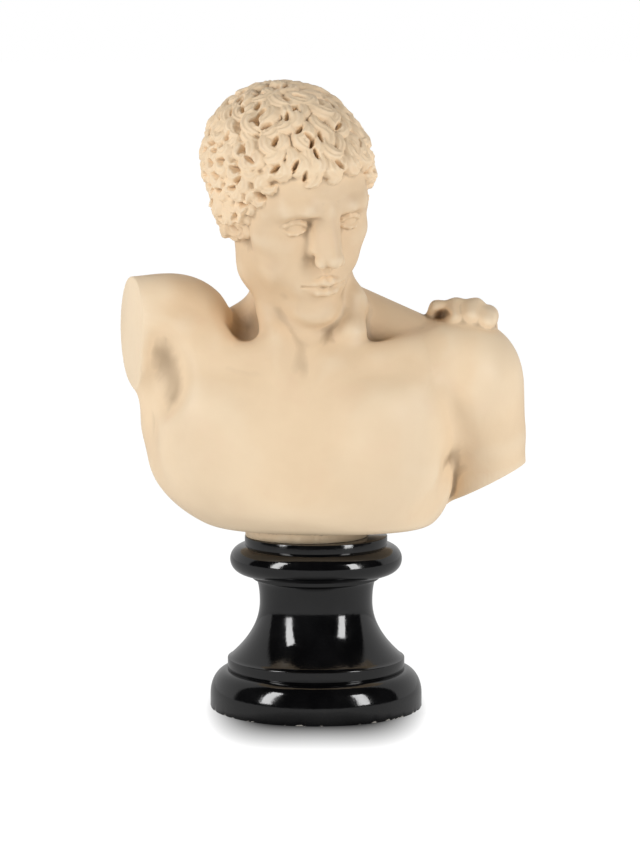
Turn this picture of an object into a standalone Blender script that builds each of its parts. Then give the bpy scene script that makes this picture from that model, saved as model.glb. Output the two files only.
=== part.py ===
"""Bust of a classical youth in cast marble, standing on a turned black plinth.

Metres, +Z up. The origin is the middle of the plinth's underside, the figure faces -Y
and its raised right arm is on the -X side. Two pieces: the plinth, a turned profile, and
the bust, whose forms are laid out on a sculptor's canon and melted into one body.
"""

import math

import bmesh
import bpy
import numpy as np
from mathutils import Euler, Matrix, Vector

# Plinth, in metres: radii and heights of its mouldings, from the floor up
BASE_RADIUS = 0.0915
BASE_CHAMFER = 0.0015
BASE_STRAIGHT = 0.0120
BASE_ROUND = 0.0215
BASE_SHOULDER = 0.0765
BAND_HEIGHT = 0.0100
SCOTIA_FOOT_RADIUS = 0.0755
SCOTIA_SWEEP = 2.1
WAIST_RADIUS = 0.0487
SCOTIA_LOWER = 0.0490
SCOTIA_UPPER = 0.0200
NECKING_RADIUS = 0.0550
NECKING_HEIGHT = 0.0045
RING_RADIUS = 0.0742
RING_HEIGHT = 0.0245
DISC_RADIUS = 0.0615
DISC_HEIGHT = 0.0080
PLINTH_SIDES = 48

# Bust, in metres: its height, the round foot it stands on, and the gap under that foot
BUST_HEIGHT = 0.3920
FOOT_REVEAL = 0.0085
FOOT_HEIGHT = 0.0080
FOOT_OFFSET = -0.0080
SEAT_GAP = 0.0003

# The figure is laid out in parts, a hundred to the bust's height
PART = BUST_HEIGHT / 100

# The head has its own canon: a hundred points from chin to crown
HEAD_POINT = 0.455
HEAD_PIVOT = (-8.3, 2.5, 66.5)
HEAD_PIVOT_POINT = (0.0, 8.0, 30.0)
HEAD_NOD = math.radians(17)
HEAD_LEAN = math.radians(-5)
HEAD_TURN = math.radians(27)

# The skull's egg, and the hair over it: where it begins, in degrees from the face and head points
SKULL_MIDDLE = (0.0, 3.0, 66.0)
SKULL_RADII = (34.0, 44.0, 34.0)
HAIRLINE = ((0, 80), (25, 81), (45, 76), (62, 66), (74, 50), (82, 43), (92, 47), (104, 50), (118, 46),
            (135, 38), (160, 31), (180, 29))
HAIR_CAP = 1.6
LOCK_COUNT = 250
LOCK_SEED = 12
LOCK_SPHERE = 41.0
LOCK_RADIUS = 5.2
LOCK_HEIGHT = 3.6

# Eyes, in head points, and the lines of their lids, in degrees around and up from where they look
EYE_MIDDLE = (13.4, -30.0, 50.0)
EYE_RADIUS = 7.2
EYE_FACING = 9
UPPER_LID = ((-52, -3), (-34, 14), (-10, 24), (16, 22), (40, 9), (58, -5))
LOWER_LID = ((-52, -3), (-30, -14), (-4, -21), (22, -21), (44, -13), (58, -5))

# The rounded lower edge of the trunk, in parts
BOWL_MIDDLE = (-3.6, 0.0, 21.0)
BOWL_RADII = (34.4, 23.0, 23.0)
BOWL_SLOPE = 0.11
BOWL_POWER = 2.5

# The flat cuts through the arms, in parts: a point on each and the way it faces
RAISED_CUT = ((-40.5, 0.0, 44.0), (-0.959, -0.282, 0.0))
LOWERED_CUT = ((37.9, 5.0, 11.1), (0.455, -0.05, -0.89))

# Folds of the cloak's end, in parts: place across, height and thickness of each
CLOAK_FOLDS = ((29.6, 47.9, 1.7), (33.0, 48.9, 2.1), (36.4, 47.4, 2.0))

# Surface working: the grain of each skin in parts, coarse to fine, and its settling rounds
SKINS = ((1.5, 6), (1.0, 6), (0.7, 5))
BUST_TRIANGLES = 7000

MARBLE_COLOUR = (0.80, 0.62, 0.44, 1.0)
LACQUER_COLOUR = (0.008, 0.008, 0.009, 1.0)


def lump(centre, radii, turn=(0, 0, 0), blend=2.0, cut=False):
    """An egg-shaped form, turned about X, Y and Z in degrees. A cut form hollows the body out."""
    turned = Euler([math.radians(a) for a in turn]).to_matrix()
    return {"shape": "lump", "centre": Vector(centre), "radii": Vector(radii), "turned": turned,
            "blend": blend, "cut": cut}


def limb(start, end, radius, end_radius=None, blend=2.0, cut=False):
    """A round bar that tapers from one radius to the other."""
    return {"shape": "limb", "start": Vector(start), "end": Vector(end), "radius": radius,
            "end_radius": radius if end_radius is None else end_radius, "blend": blend, "cut": cut}


def strand(points, radii, blend=1.0, cut=False):
    """A chain of bars through the points."""
    return [limb(points[i], points[i + 1], radii[i], radii[i + 1], blend, cut)
            for i in range(len(points) - 1)]


def mirrored(form):
    """The same form on the other side of the middle plane."""
    flip = Matrix.Diagonal((-1, 1, 1))
    other = dict(form)
    for place in ("centre", "start", "end"):
        if place in other:
            other[place] = flip @ other[place]
    if "turned" in other:
        other["turned"] = flip @ other["turned"] @ flip
    return other


def both_sides(forms):
    """Each form with its mirror image beside it."""
    return [side for form in forms for side in (form, mirrored(form))]


def head_place():
    """Matrix that sets the head's canon, in points, into the figure's, in parts."""
    turned = (Matrix.Rotation(HEAD_TURN, 4, "Z") @ Matrix.Rotation(HEAD_LEAN, 4, "Y")
              @ Matrix.Rotation(HEAD_NOD, 4, "X"))
    return (Matrix.Translation(HEAD_PIVOT) @ turned @ Matrix.Scale(HEAD_POINT, 4)
            @ Matrix.Translation(-Vector(HEAD_PIVOT_POINT)))


def skull_forms():
    """Skull, jaw and neck joint, in head points: x to the side, -y forward, z up from the chin."""
    middle = [
        lump(SKULL_MIDDLE, SKULL_RADII, blend=4),
        lump((0, -18, 62), (27, 23, 24), blend=8),
        lump((0, -14, 34), (22.5, 25, 32), blend=8),
        lump((0, -37, 6.5), (7.5, 6.5, 6.2), blend=7),
    ]
    sides = both_sides([
        limb((16.5, -5, 20), (6, -32, 8), 7.5, 6, blend=9),
        limb((22.5, 0, 46), (16.5, -5, 20), 7.5, 7.5, blend=10),
        lump((15.5, -24, 33), (9.5, 12, 14), blend=10),
        lump((19, -25, 42.5), (8.5, 8, 5.5), blend=9),
    ])
    return middle + sides


def on_eye(angles, radius):
    """The point on a ball round the eye's middle, that many degrees around and up from its front."""
    around, up = math.radians(angles[0] + EYE_FACING), math.radians(angles[1])
    way = Vector((math.sin(around) * math.cos(up), -math.cos(around) * math.cos(up), math.sin(up)))
    return Vector(EYE_MIDDLE) + way * radius


def brow_and_eyes():
    """Straight brows over set-back eyes with clear lids."""
    upper = [on_eye(angles, EYE_RADIUS + 0.55) for angles in UPPER_LID]
    lower = [on_eye(angles, EYE_RADIUS + 0.35) for angles in LOWER_LID]
    return both_sides([
        lump((20.0, -22.0, 50.5), (6.8, 9.5, 11), blend=7),
        *strand([(3, -40.8, 57.2), (11, -40.2, 59.2), (18.5, -35.0, 59.0), (23.5, -27.5, 56)],
                [2.6, 2.4, 2.2, 2.0], blend=7),
        lump((12.8, -44.6, 50.6), (9.0, 8.3, 5.8), blend=4.5, cut=True),
        lump((7.4, -43.8, 51.4), (3.2, 6.0, 4.2), blend=3, cut=True),
        lump(EYE_MIDDLE, (EYE_RADIUS, EYE_RADIUS, EYE_RADIUS), blend=0.7),
        *strand(upper, [0.6, 0.95, 1.1, 1.1, 0.95, 0.6], blend=0.7),
        *strand(lower, [0.5, 0.75, 0.9, 0.9, 0.75, 0.5], blend=0.8),
    ])


def nose_and_mouth():
    """Straight nose in line with the brow, closed lips and a firm chin."""
    nose = [
        limb((0, -41.0, 59.0), (0, -49.8, 38.5), 3.0, 3.0, blend=3.5),
        lump((0, -50.2, 36.8), (3.3, 3.6, 3.3), blend=3),
        limb((0, -49.3, 33.8), (0, -44.4, 31.9), 1.5, 2.0, blend=1.4),
        *both_sides([
            limb((1.6, -40.6, 56), (2.6, -46.6, 38), 2.4, 2.8, blend=3),
            limb((3.6, -39.6, 52), (4.6, -41.4, 40), 2.0, 2.6, blend=5),
            lump((4.7, -45.6, 35.2), (2.3, 4.1, 3.0), blend=1.8),
            lump((2.6, -47.2, 31.7), (1.25, 2.3, 1.3), blend=0.7, cut=True),
        ]),
    ]
    mouth = [
        lump((0, -34.5, 22.0), (14, 9.4, 11.0), blend=7),
        *strand([(-10.6, -39.2, 22.2), (-3.2, -43.7, 24.3), (0, -43.8, 23.7), (3.2, -43.7, 24.3),
                 (10.6, -39.2, 22.2)], [0.9, 1.9, 2.0, 1.9, 0.9], blend=1.6),
        *strand([(-9.0, -39.9, 20.3), (-2.8, -43.0, 18.9), (2.8, -43.0, 18.9), (9.0, -39.9, 20.3)],
                [1.0, 2.3, 2.3, 1.0], blend=1.6),
        *strand([(-10.8, -40.8, 21.6), (-3.5, -45.6, 21.9), (0, -46.0, 21.4), (3.5, -45.6, 21.9),
                 (10.8, -40.8, 21.6)], [0.8, 1.2, 1.3, 1.2, 0.8], blend=0.8, cut=True),
        limb((0, -46.0, 30.0), (0, -46.4, 27.0), 1.2, 1.5, blend=1.5, cut=True),
        lump((0, -46.2, 14.0), (8, 3.8, 2.4), blend=3.5, cut=True),
    ]
    return nose + mouth


def ears():
    """Ears whose tops the hair covers."""
    rim = [(32.0, -0.5, 44), (33.6, 0.5, 51), (34.6, 4.5, 55), (35.0, 9.0, 53), (34.2, 9.6, 47),
           (32.4, 6.0, 40), (31.0, 2.0, 36.5)]
    return both_sides([
        lump((31.0, 4.5, 45.5), (2.6, 5.2, 9.5), turn=(-8, 0, 12), blend=2),
        *strand(rim, [1.2, 1.3, 1.4, 1.5, 1.4, 1.5, 1.9], blend=1.0),
        lump((34.6, 2.6, 44.5), (2.2, 2.6, 3.8), blend=1.0, cut=True),
    ])


def torso_forms():
    """Chest and back, in parts from the middle of the foot's underside."""
    ribs = [
        lump((-3.5, 1, 17), (31, 19.5, 30), blend=4),
        lump((-3.5, 0, 2), (31.5, 20, 24), blend=8),
        lump((-3, 10, 30), (28, 11, 20), blend=8),
        lump((-29.8, 4, 18.5), (8.2, 13, 20), turn=(0, -1, 0), blend=6),
        lump((23.0, 5, 16), (8.0, 12, 18), blend=6),
    ]
    breast = [
        lump((-17.5, -11.5, 21.5), (16, 9.2, 14.5), turn=(0, -14, 8), blend=7),
        lump((10.5, -12.3, 20.5), (17, 9.2, 14.0), turn=(0, 6, -6), blend=7),
        lump((-3.5, -8.5, 33), (19, 6.0, 9), blend=6),
        limb((-22, -10.5, 27), (-32, -4.5, 43), 6.8, 7.5, blend=8),
        limb((15, -11.5, 27), (29, -3.5, 36), 8.0, 8.5, blend=8),
        limb((20, -8.5, 26), (31.5, -3.0, 26.5), 7.5, 5.0, blend=5),
    ]
    back = [
        lump((-20, 17, 31), (9, 4.5, 12), turn=(0, 14, -12), blend=6),
        lump((14, 17, 28), (9, 4.5, 12), turn=(0, -10, 12), blend=6),
        limb((-3, 25.5, 6), (-4, 23.5, 44), 2.2, 2.2, blend=5, cut=True),
    ]
    return ribs + breast + back


def neck_forms():
    """The column of the neck, the throat, and the slopes from it down to the shoulders."""
    return [
        limb((-2.5, 4.0, 36), (-5.6, 3.0, 62), 11.4, 8.8, blend=5),
        limb((-2.6, -2.2, 37), (-3.2, -2.6, 55), 9.6, 8.6, blend=5),
        limb((-6, 8, 49.5), (-22, 6, 41.5), 6.5, 5.5, blend=4),
        limb((-1, 5.0, 50.8), (27, 2.0, 39.8), 7.6, 6.4, blend=5),
        lump((-23.0, -5.5, 41.5), (7.5, 6.5, 6.0), blend=5),
        lump((-18.5, -7.0, 37.5), (9.5, 6.0, 6.5), blend=6),
    ]


def neck_cords(place):
    """The two neck muscles from behind the ears to the collar bones, and the collar bones."""
    right_ear = place @ Vector((-14, 4, 34))
    left_ear = place @ Vector((19, 6, 34))
    return [
        *strand([right_ear, (-11.6, -5.4, 50), (-9.2, -9.4, 43), (-4.8, -12.2, 37.4)],
                [2.6, 2.9, 2.9, 2.0], blend=3.5),
        *strand([left_ear, (7.6, -4.6, 52), (7.4, -8.0, 45), (4.2, -10.8, 39)],
                [2.4, 2.3, 2.5, 2.2], blend=4),
        *strand([(-4.5, -11.6, 36.4), (-14, -9.6, 40.2), (-24, -4.5, 45.5)], [2.4, 2.2, 2.8], blend=5),
        *strand([(1.0, -11.6, 36.2), (13, -9.8, 38.6), (27, -4.5, 42.5)], [2.4, 2.2, 2.8], blend=5),
    ]


def raised_shoulder():
    """The right arm lifted sideways and broken off flat just past the shoulder."""
    return [
        lump((-33.5, 0.5, 45.0), (12.0, 12.0, 10.6), blend=5),
        lump((-31.0, 1.5, 46.0), (12.3, 9.0, 11.2), blend=2),
        lump((-42, -0.4, 45.0), (24, 9.2, 11.6), blend=4),
        limb((-34.0, -3.4, 50.4), (-46, -4.0, 50.8), 5.2, 5.2, blend=3),
        limb((-37.0, -4.2, 40.6), (-46, -4.8, 39.0), 5.0, 5.0, blend=3),
        lump((-32.6, 5, 29), (5.2, 9, 11), blend=5),
        limb((-34.6, -2.0, 34), (-33.6, -1.0, 25), 3.2, 3.2, blend=5),
        limb((-28.8, -8.2, 45), (-29.4, -9.0, 34), 3.0, 3.0, blend=3.5),
    ]


def lowered_shoulder():
    """The round of the left shoulder."""
    return [
        lump((33.3, 1.5, 34.5), (10.8, 12.3, 12.4), blend=5),
        limb((33.3, 1.5, 34), (36.4, 3.5, 22), 10.2, 9.6, blend=6),
    ]


def lowered_arm():
    """The left arm hanging a little back, cut off on the slant above the elbow."""
    return [
        limb((35.6, 3.0, 33), (38.4, 7, 3), 9.6, 8.7, blend=3),
        limb((28.0, 7.5, 33), (28.0, 8.5, 6), 5.0, 4.6, blend=3),
    ]


def hollows():
    """What is carved out of trunk and shoulders: throat, neck pit, collar bone and raised armpit."""
    armpit = [(-31.0, -12.0, 41.5), (-31.2, -11.5, 37.5), (-32.6, -10.5, 33.8)]
    return [
        lump((-3.0, -16.6, 40.0), (3.0, 3.4, 3.6), blend=3, cut=True),
        lump((-16.4, -6.8, 46.6), (2.6, 6.0, 4.4), blend=3, cut=True),
        lump((14.5, -13.2, 43.5), (5.5, 3.4, 3.4), blend=6, cut=True),
        lump((-34.0, -13.2, 38.4), (3.6, 6.0, 6.8), blend=3.5, cut=True),
        *strand(armpit, [1.0, 1.7, 1.5], blend=2.0, cut=True),
    ]


def cloak_end():
    """The end of a cloak drawn over the left shoulder in a few short folds, with one loop of it lifted."""
    folds = [
        lump((32.4, 3.0, 44.5), (6.6, 8.0, 4.6), blend=1.5),
        *strand([(24.6, 3.0, 46.6), (26.6, 1.6, 49.8), (30.6, 1.0, 50.4), (34.6, 1.4, 49.6)],
                [1.3, 1.4, 1.5, 1.6], blend=1.2),
    ]
    for across, height, thick in CLOAK_FOLDS:
        folds += strand([(across + 1.6, 10, height - 5.5), (across + 0.9, 4.5, height + 0.2),
                         (across + 0.2, -0.8, height - 0.5), (across - 0.5, -3.0, height - 3.0)],
                        [thick, thick, thick - 0.2, thick - 0.7], blend=1.0)
    return folds + [lump((26.8, -2.8, 47.4), (2.0, 4.4, 1.5), turn=(0, -14, 0), blend=0.8, cut=True)]


def distance_to(form, points):
    """How far each point lies outside the form, negative inside it."""
    if form["shape"] == "lump":
        radii = np.array(form["radii"])
        local = (points - np.array(form["centre"])) @ np.array(form["turned"]) / radii
        near = np.linalg.norm(local, axis=1)
        slope = np.linalg.norm(local / radii, axis=1) + 1e-9
        return near * (near - 1) / slope
    start = np.array(form["start"])
    along = np.array(form["end"]) - start
    share = np.clip((points - start) @ along / (along @ along), 0, 1)
    radius = form["radius"] + share * (form["end_radius"] - form["radius"])
    return np.linalg.norm(points - start - share[:, None] * along, axis=1) - radius


def melted(first, second, reach):
    """The nearer of two distances, with the seam between them rounded over the reach."""
    share = np.clip(0.5 + 0.5 * (second - first) / reach, 0, 1)
    return second + (first - second) * share - reach * share * (1 - share)


def near_form(form, points, margin):
    """Which points lie close enough to the form for it to matter to them."""
    if form["shape"] == "lump":
        middle, size = np.array(form["centre"]), max(form["radii"])
    else:
        middle = np.array((form["start"] + form["end"]) / 2)
        size = (form["end"] - form["start"]).length / 2 + max(form["radius"], form["end_radius"])
    return ((points - middle) ** 2).sum(1) < (size + form["blend"] + margin) ** 2


def body_of(forms, points, margin, distance=None):
    """Distance to all the forms, melted in order onto a body or onto nothing, the cut ones hollowed out."""
    distance = np.full(len(points), 3 * margin) if distance is None else distance.copy()
    for form in forms:
        near = near_form(form, points, margin)
        if not near.any():
            continue
        one = distance_to(form, points[near])
        if form["cut"]:
            distance[near] = -melted(-distance[near], one, form["blend"])
        else:
            distance[near] = melted(distance[near], one, form["blend"])
    return distance


def hair_area(points):
    """How far each point of the head lies above the hairline, in head points."""
    around = np.degrees(np.arctan2(np.abs(points[:, 0]), -points[:, 1]))
    angles, heights = zip(*HAIRLINE)
    return points[:, 2] - np.interp(around, angles, heights)


def lock_places():
    """Middle, first tangent, second tangent, turn and size of each lock, spread evenly on the skull."""
    chance = np.random.default_rng(LOCK_SEED)
    golden = math.pi * (3 - math.sqrt(5))
    places = []
    for i in range(LOCK_COUNT):
        height = 1 - (2 * i + 1) / LOCK_COUNT
        ring = math.sqrt(1 - height * height)
        middle = np.array((ring * math.cos(golden * i), ring * math.sin(golden * i), height))
        middle += chance.uniform(-0.035, 0.035, 3)
        middle /= np.linalg.norm(middle)
        across = np.cross(middle, (0.05, -0.45, 1.0))
        across /= np.linalg.norm(across)
        along = np.cross(middle, across)
        swirl = math.copysign(1, chance.uniform(-1, 1.4))
        places.append((middle, across, along, chance.uniform(-1.2, 1.2), swirl, chance.uniform(0.85, 1.2)))
    return places


def lock_relief(points, places):
    """Height of the curled locks over the scalp at each point of the head, in head points."""
    radii = np.array(SKULL_RADII)
    scaled = (points - np.array(SKULL_MIDDLE)) / radii
    outward = scaled / np.linalg.norm(scaled, axis=1)[:, None]
    relief = np.zeros(len(points))
    steps = np.linspace(0, 1, 9)
    for middle, across, along, turn, swirl, size in places:
        reach = LOCK_RADIUS * size * 1.5 / LOCK_SPHERE
        near = np.where(outward @ middle > math.cos(reach))[0]
        if len(near) == 0:
            continue
        flat = np.stack([outward[near] @ across, outward[near] @ along], 1) * LOCK_SPHERE
        angle = turn + swirl * 4.6 * steps
        curl = LOCK_RADIUS * size * (0.72 - 0.62 * steps)
        line = np.stack([curl * np.cos(angle), curl * np.sin(angle)], 1)
        width = LOCK_RADIUS * size * (0.30 + 0.14 * np.sin(math.pi * steps))
        gap = np.linalg.norm(flat[:, None] - line[None], axis=2) / width[None]
        bulge = np.sqrt(np.clip(1 - gap.min(1) ** 2, 0, 1))
        relief[near] = np.maximum(relief[near], LOCK_HEIGHT * size * bulge)
    return relief


def hair_depth(points, places):
    """Thickness of the hair over the head at each point, in head points."""
    inside = np.clip(hair_area(points) / 4.0 + 0.5, 0, 1)
    edge = inside * inside * (3 - 2 * inside)
    return edge * (HAIR_CAP + lock_relief(points, places))


def make_figure():
    """All the forms of the bust, sorted by the order in which they are melted."""
    place = head_place()
    return {
        "trunk": torso_forms(),
        "upper": neck_forms() + neck_cords(place) + raised_shoulder() + lowered_shoulder(),
        "hollows": hollows(),
        "arm": lowered_arm(),
        "head": skull_forms() + brow_and_eyes() + nose_and_mouth() + ears(),
        "cloak": cloak_end(),
        "place": place,
        "to_head": np.array(place.inverted()),
        "locks": lock_places(),
    }


def bowl_distance(points):
    """Distance to the rounded lower edge of the trunk, higher under the raised arm than on the other side."""
    lifted = points[:, 2] - BOWL_MIDDLE[2] + BOWL_SLOPE * (points[:, 0] - BOWL_MIDDLE[0])
    scaled = np.stack([
        np.abs(points[:, 0] - BOWL_MIDDLE[0]) / BOWL_RADII[0],
        np.abs(points[:, 1] - BOWL_MIDDLE[1]) / BOWL_RADII[1],
        np.clip(-lifted / BOWL_RADII[2], 0, None),
    ], 1)
    return ((scaled ** BOWL_POWER).sum(1) ** (1 / BOWL_POWER) - 1) * min(BOWL_RADII)


def foot_distance(points):
    """Distance to the round foot under the trunk."""
    middle = FOOT_OFFSET / PART
    radius = (DISC_RADIUS - FOOT_REVEAL) / PART
    beside = np.hypot(points[:, 0] - middle, points[:, 1]) - radius
    above = np.abs(points[:, 2]) - 2 * FOOT_HEIGHT / PART
    return np.maximum(beside, above)


def figure_distance(figure, points, margin=4.0):
    """Distance from each point, in parts, to the surface of the whole figure."""
    trunk = body_of(figure["trunk"], points, margin)
    trunk = -melted(-trunk, -bowl_distance(points), 2.0)
    trunk = -melted(-trunk, points[:, 2] - FOOT_HEIGHT / PART, 1.5)
    upper = body_of(figure["upper"], points, margin)
    point, outward = (np.array(place) for place in LOWERED_CUT)
    arm = np.maximum(body_of(figure["arm"], points, margin), (points - point) @ outward)
    whole = body_of(figure["hollows"], points, margin, melted(trunk, upper, 3.0))
    whole = melted(whole, arm, 1.2)
    to_head = figure["to_head"]
    in_head = points @ to_head[:3, :3].T + to_head[:3, 3]
    close = np.linalg.norm(in_head - (0, 0, 50), axis=1) < 95
    head = np.full(len(points), 3 * margin)
    local = in_head[close]
    head[close] = (body_of(figure["head"], local, margin) - hair_depth(local, figure["locks"])) * HEAD_POINT
    whole = melted(whole, head, 2.2)
    whole = melted(whole, body_of(figure["cloak"], points, margin), 0.6)
    return melted(whole, foot_distance(points), 0.8)


def balls_of(form):
    """Matrices that place unit balls to fill a form: one for a lump, a row of them for a limb."""
    if form["shape"] == "lump":
        return [Matrix.Translation(form["centre"]) @ form["turned"].to_4x4()
                @ Matrix.Diagonal((*form["radii"], 1))]
    spacing = 0.6 * min(form["radius"], form["end_radius"])
    count = max(1, math.ceil((form["end"] - form["start"]).length / spacing))
    row = []
    for i in range(count + 1):
        radius = form["radius"] + (form["end_radius"] - form["radius"]) * i / count
        row.append(Matrix.Translation(form["start"].lerp(form["end"], i / count)) @ Matrix.Scale(radius, 4))
    return row


def evaluated_mesh(obj):
    """A new mesh of the object as its modifiers leave it."""
    graph = bpy.context.evaluated_depsgraph_get()
    return bpy.data.meshes.new_from_object(obj.evaluated_get(graph))


def remeshed(obj, voxel):
    """Gives the object one even closed skin, without the pockets that the forms shut in."""
    skin = obj.modifiers.new("even skin", "REMESH")
    skin.mode = "VOXEL"
    skin.voxel_size = voxel
    mesh = evaluated_mesh(obj)
    obj.modifiers.clear()
    obj.data = mesh
    keep_outer_skin(mesh)


def keep_outer_skin(mesh):
    """Deletes every loose shell but the largest."""
    shells = bmesh.new()
    shells.from_mesh(mesh)
    unseen = set(shells.verts)
    found = []
    while unseen:
        reached = [unseen.pop()]
        for vertex in reached:
            for edge in vertex.link_edges:
                other = edge.other_vert(vertex)
                if other in unseen:
                    unseen.discard(other)
                    reached.append(other)
        found.append(reached)
    found.sort(key=len)
    bmesh.ops.delete(shells, geom=[vertex for shell in found[:-1] for vertex in shell], context="VERTS")
    shells.to_mesh(mesh)
    shells.free()


def pressed(mesh, point, outward, spare=0.0):
    """Moves what lies past the plane flat onto it, or a spare length beyond it."""
    for vertex in mesh.vertices:
        past = (vertex.co - Vector(point)).dot(Vector(outward)) - spare
        if past > 0:
            vertex.co -= past * Vector(outward)


def drawn_in(mesh):
    """Draws what lies outside the trunk's rounded lower edge in onto it."""
    middle = Vector(BOWL_MIDDLE)
    for vertex in mesh.vertices:
        share = bowl_distance(np.array([vertex.co]))[0] / min(BOWL_RADII) + 1
        if share > 1:
            vertex.co = middle + (vertex.co - middle) / share
        vertex.co.z = max(vertex.co.z, FOOT_HEIGHT / PART)


def rough_skin(figure):
    """One closed skin round all the forms, before they are melted together."""
    seed = bmesh.new()
    bmesh.ops.create_icosphere(seed, subdivisions=3, radius=1)
    ball = bpy.data.meshes.new("ball")
    seed.to_mesh(ball)
    seed.free()
    rough = bmesh.new()
    for group in ("trunk", "upper", "arm", "cloak", "head"):
        to_figure = figure["place"] if group == "head" else Matrix()
        for form in figure[group]:
            for place in [] if form["cut"] else balls_of(form):
                copy = ball.copy()
                copy.transform(to_figure @ place)
                if group == "trunk":
                    drawn_in(copy)
                if group == "arm":
                    pressed(copy, *LOWERED_CUT)
                if group == "upper":
                    pressed(copy, *RAISED_CUT, spare=1.5)
                rough.from_mesh(copy)
                bpy.data.meshes.remove(copy)
    mesh = bpy.data.meshes.new("bust")
    rough.to_mesh(mesh)
    rough.free()
    bust = bpy.data.objects.new("bust", mesh)
    bpy.context.scene.collection.objects.link(bust)
    return bust


def add_foot(bust):
    """Joins a round foot to the underside of the rough skin."""
    joined = bmesh.new()
    radius = (DISC_RADIUS - FOOT_REVEAL) / PART
    depth = 3 * FOOT_HEIGHT / PART
    middle = Matrix.Translation((FOOT_OFFSET / PART, 0, 0))
    bmesh.ops.create_cone(joined, cap_ends=True, segments=48, radius1=radius, radius2=radius, depth=depth,
                          matrix=middle)
    joined.from_mesh(bust.data)
    joined.to_mesh(bust.data)
    joined.free()


def cut_flat(obj, point, outward):
    """Cuts away what lies past the plane and closes the cut with flat faces."""
    cut = bmesh.new()
    cut.from_mesh(obj.data)
    everything = cut.verts[:] + cut.edges[:] + cut.faces[:]
    bmesh.ops.bisect_plane(cut, geom=everything, dist=1e-5, plane_co=point, plane_no=outward,
                           clear_outer=True)
    rim = [edge for edge in cut.edges if edge.is_boundary]
    bmesh.ops.holes_fill(cut, edges=rim, sides=0)
    bmesh.ops.triangulate(cut, faces=[face for face in cut.faces if len(face.verts) > 4])
    cut.to_mesh(obj.data)
    cut.free()


def settle(obj, figure, rounds):
    """Moves every point of the skin along its normal until it lies on the melted surface."""
    mesh = obj.data
    count = len(mesh.vertices)
    points, normals = np.empty(count * 3, np.float32), np.empty(count * 3, np.float32)
    for turn in range(rounds):
        mesh.vertices.foreach_get("co", points)
        mesh.vertex_normals.foreach_get("vector", normals)
        places = points.reshape(-1, 3).astype(float)
        step = np.clip(figure_distance(figure, places), -1.5, 1.5)
        places -= 0.9 * step[:, None] * normals.reshape(-1, 3)
        mesh.vertices.foreach_set("co", places.astype(np.float32).ravel())
        mesh.update()
        if turn < rounds - 2:
            relax(mesh, 0.4)


def relax(mesh, strength):
    """Evens out the skin by moving each point towards its neighbours."""
    even = bmesh.new()
    even.from_mesh(mesh)
    bmesh.ops.smooth_vert(even, verts=even.verts[:], factor=strength, use_axis_x=True, use_axis_y=True,
                          use_axis_z=True)
    even.to_mesh(mesh)
    even.free()


def thinned(obj, triangles):
    """Takes out points where the surface is flat until about that many triangles are left."""
    obj.data.calc_loop_triangles()
    fewer = obj.modifiers.new("fewer faces", "DECIMATE")
    fewer.ratio = triangles / len(obj.data.loop_triangles)
    mesh = evaluated_mesh(obj)
    obj.modifiers.clear()
    obj.data = mesh


def make_bust():
    """The figure as one solid, with its arms cut flat and its foot flat on the plinth."""
    figure = make_figure()
    bust = rough_skin(figure)
    add_foot(bust)
    for voxel, rounds in SKINS:
        remeshed(bust, voxel)
        settle(bust, figure, rounds)
    thinned(bust, BUST_TRIANGLES)
    cut_flat(bust, (0, 0, 0), (0, 0, -1))
    cut_flat(bust, *RAISED_CUT)
    seat = plinth_height() + SEAT_GAP
    bust.data.transform(Matrix.Translation((0, 0, seat)) @ Matrix.Scale(PART, 4))
    bust.data.shade_smooth()
    return bust


def arc(centre, radii, start, end, steps):
    """Points on an ellipse's arc, from one angle in degrees to another, both ends included."""
    angles = [math.radians(start + (end - start) * i / steps) for i in range(steps + 1)]
    return [(centre[0] + radii[0] * math.cos(a), centre[1] + radii[1] * math.sin(a)) for a in angles]


def plinth_levels():
    """Heights of the plinth's mouldings above the floor."""
    base = BASE_STRAIGHT + BASE_ROUND
    band = base + BAND_HEIGHT
    waist = band + SCOTIA_LOWER
    necking = waist + SCOTIA_UPPER
    ring = necking + NECKING_HEIGHT
    disc = ring + RING_HEIGHT
    return {"base": base, "band": band, "waist": waist, "necking": necking, "ring": ring, "disc": disc,
            "top": disc + DISC_HEIGHT}


def plinth_height():
    """Height of the whole plinth."""
    return plinth_levels()["top"]


def scotia_sweep(waist_height, steps):
    """Points down the flaring foot of the hollow, from just under the waist."""
    shares = [(i + 1) / steps for i in range(steps)]
    return [(WAIST_RADIUS + (SCOTIA_FOOT_RADIUS - WAIST_RADIUS) * share ** SCOTIA_SWEEP,
             waist_height - SCOTIA_LOWER * share) for share in shares]


def plinth_profile():
    """Radius and height of the turned outline, from the axis on top down to the axis underneath."""
    at = plinth_levels()
    ring_middle = (at["ring"] + at["disc"]) / 2
    return [
        (0, at["top"]),
        (DISC_RADIUS, at["top"]),
        (DISC_RADIUS, at["disc"]),
        *arc((DISC_RADIUS, ring_middle), (RING_RADIUS - DISC_RADIUS, RING_HEIGHT / 2), 78, -78, 6),
        (NECKING_RADIUS, at["ring"]),
        (NECKING_RADIUS, at["necking"]),
        *arc((WAIST_RADIUS + 0.004, at["waist"]), (0.004, SCOTIA_UPPER), 90, 180, 3),
        *scotia_sweep(at["waist"], 7),
        (BASE_SHOULDER, at["band"]),
        (BASE_SHOULDER, at["base"]),
        *arc((BASE_SHOULDER, BASE_STRAIGHT), (BASE_RADIUS - BASE_SHOULDER, BASE_ROUND), 85, 0, 4),
        (BASE_RADIUS, BASE_CHAMFER),
        (BASE_RADIUS - BASE_CHAMFER, 0),
        (0, 0),
    ]


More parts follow.
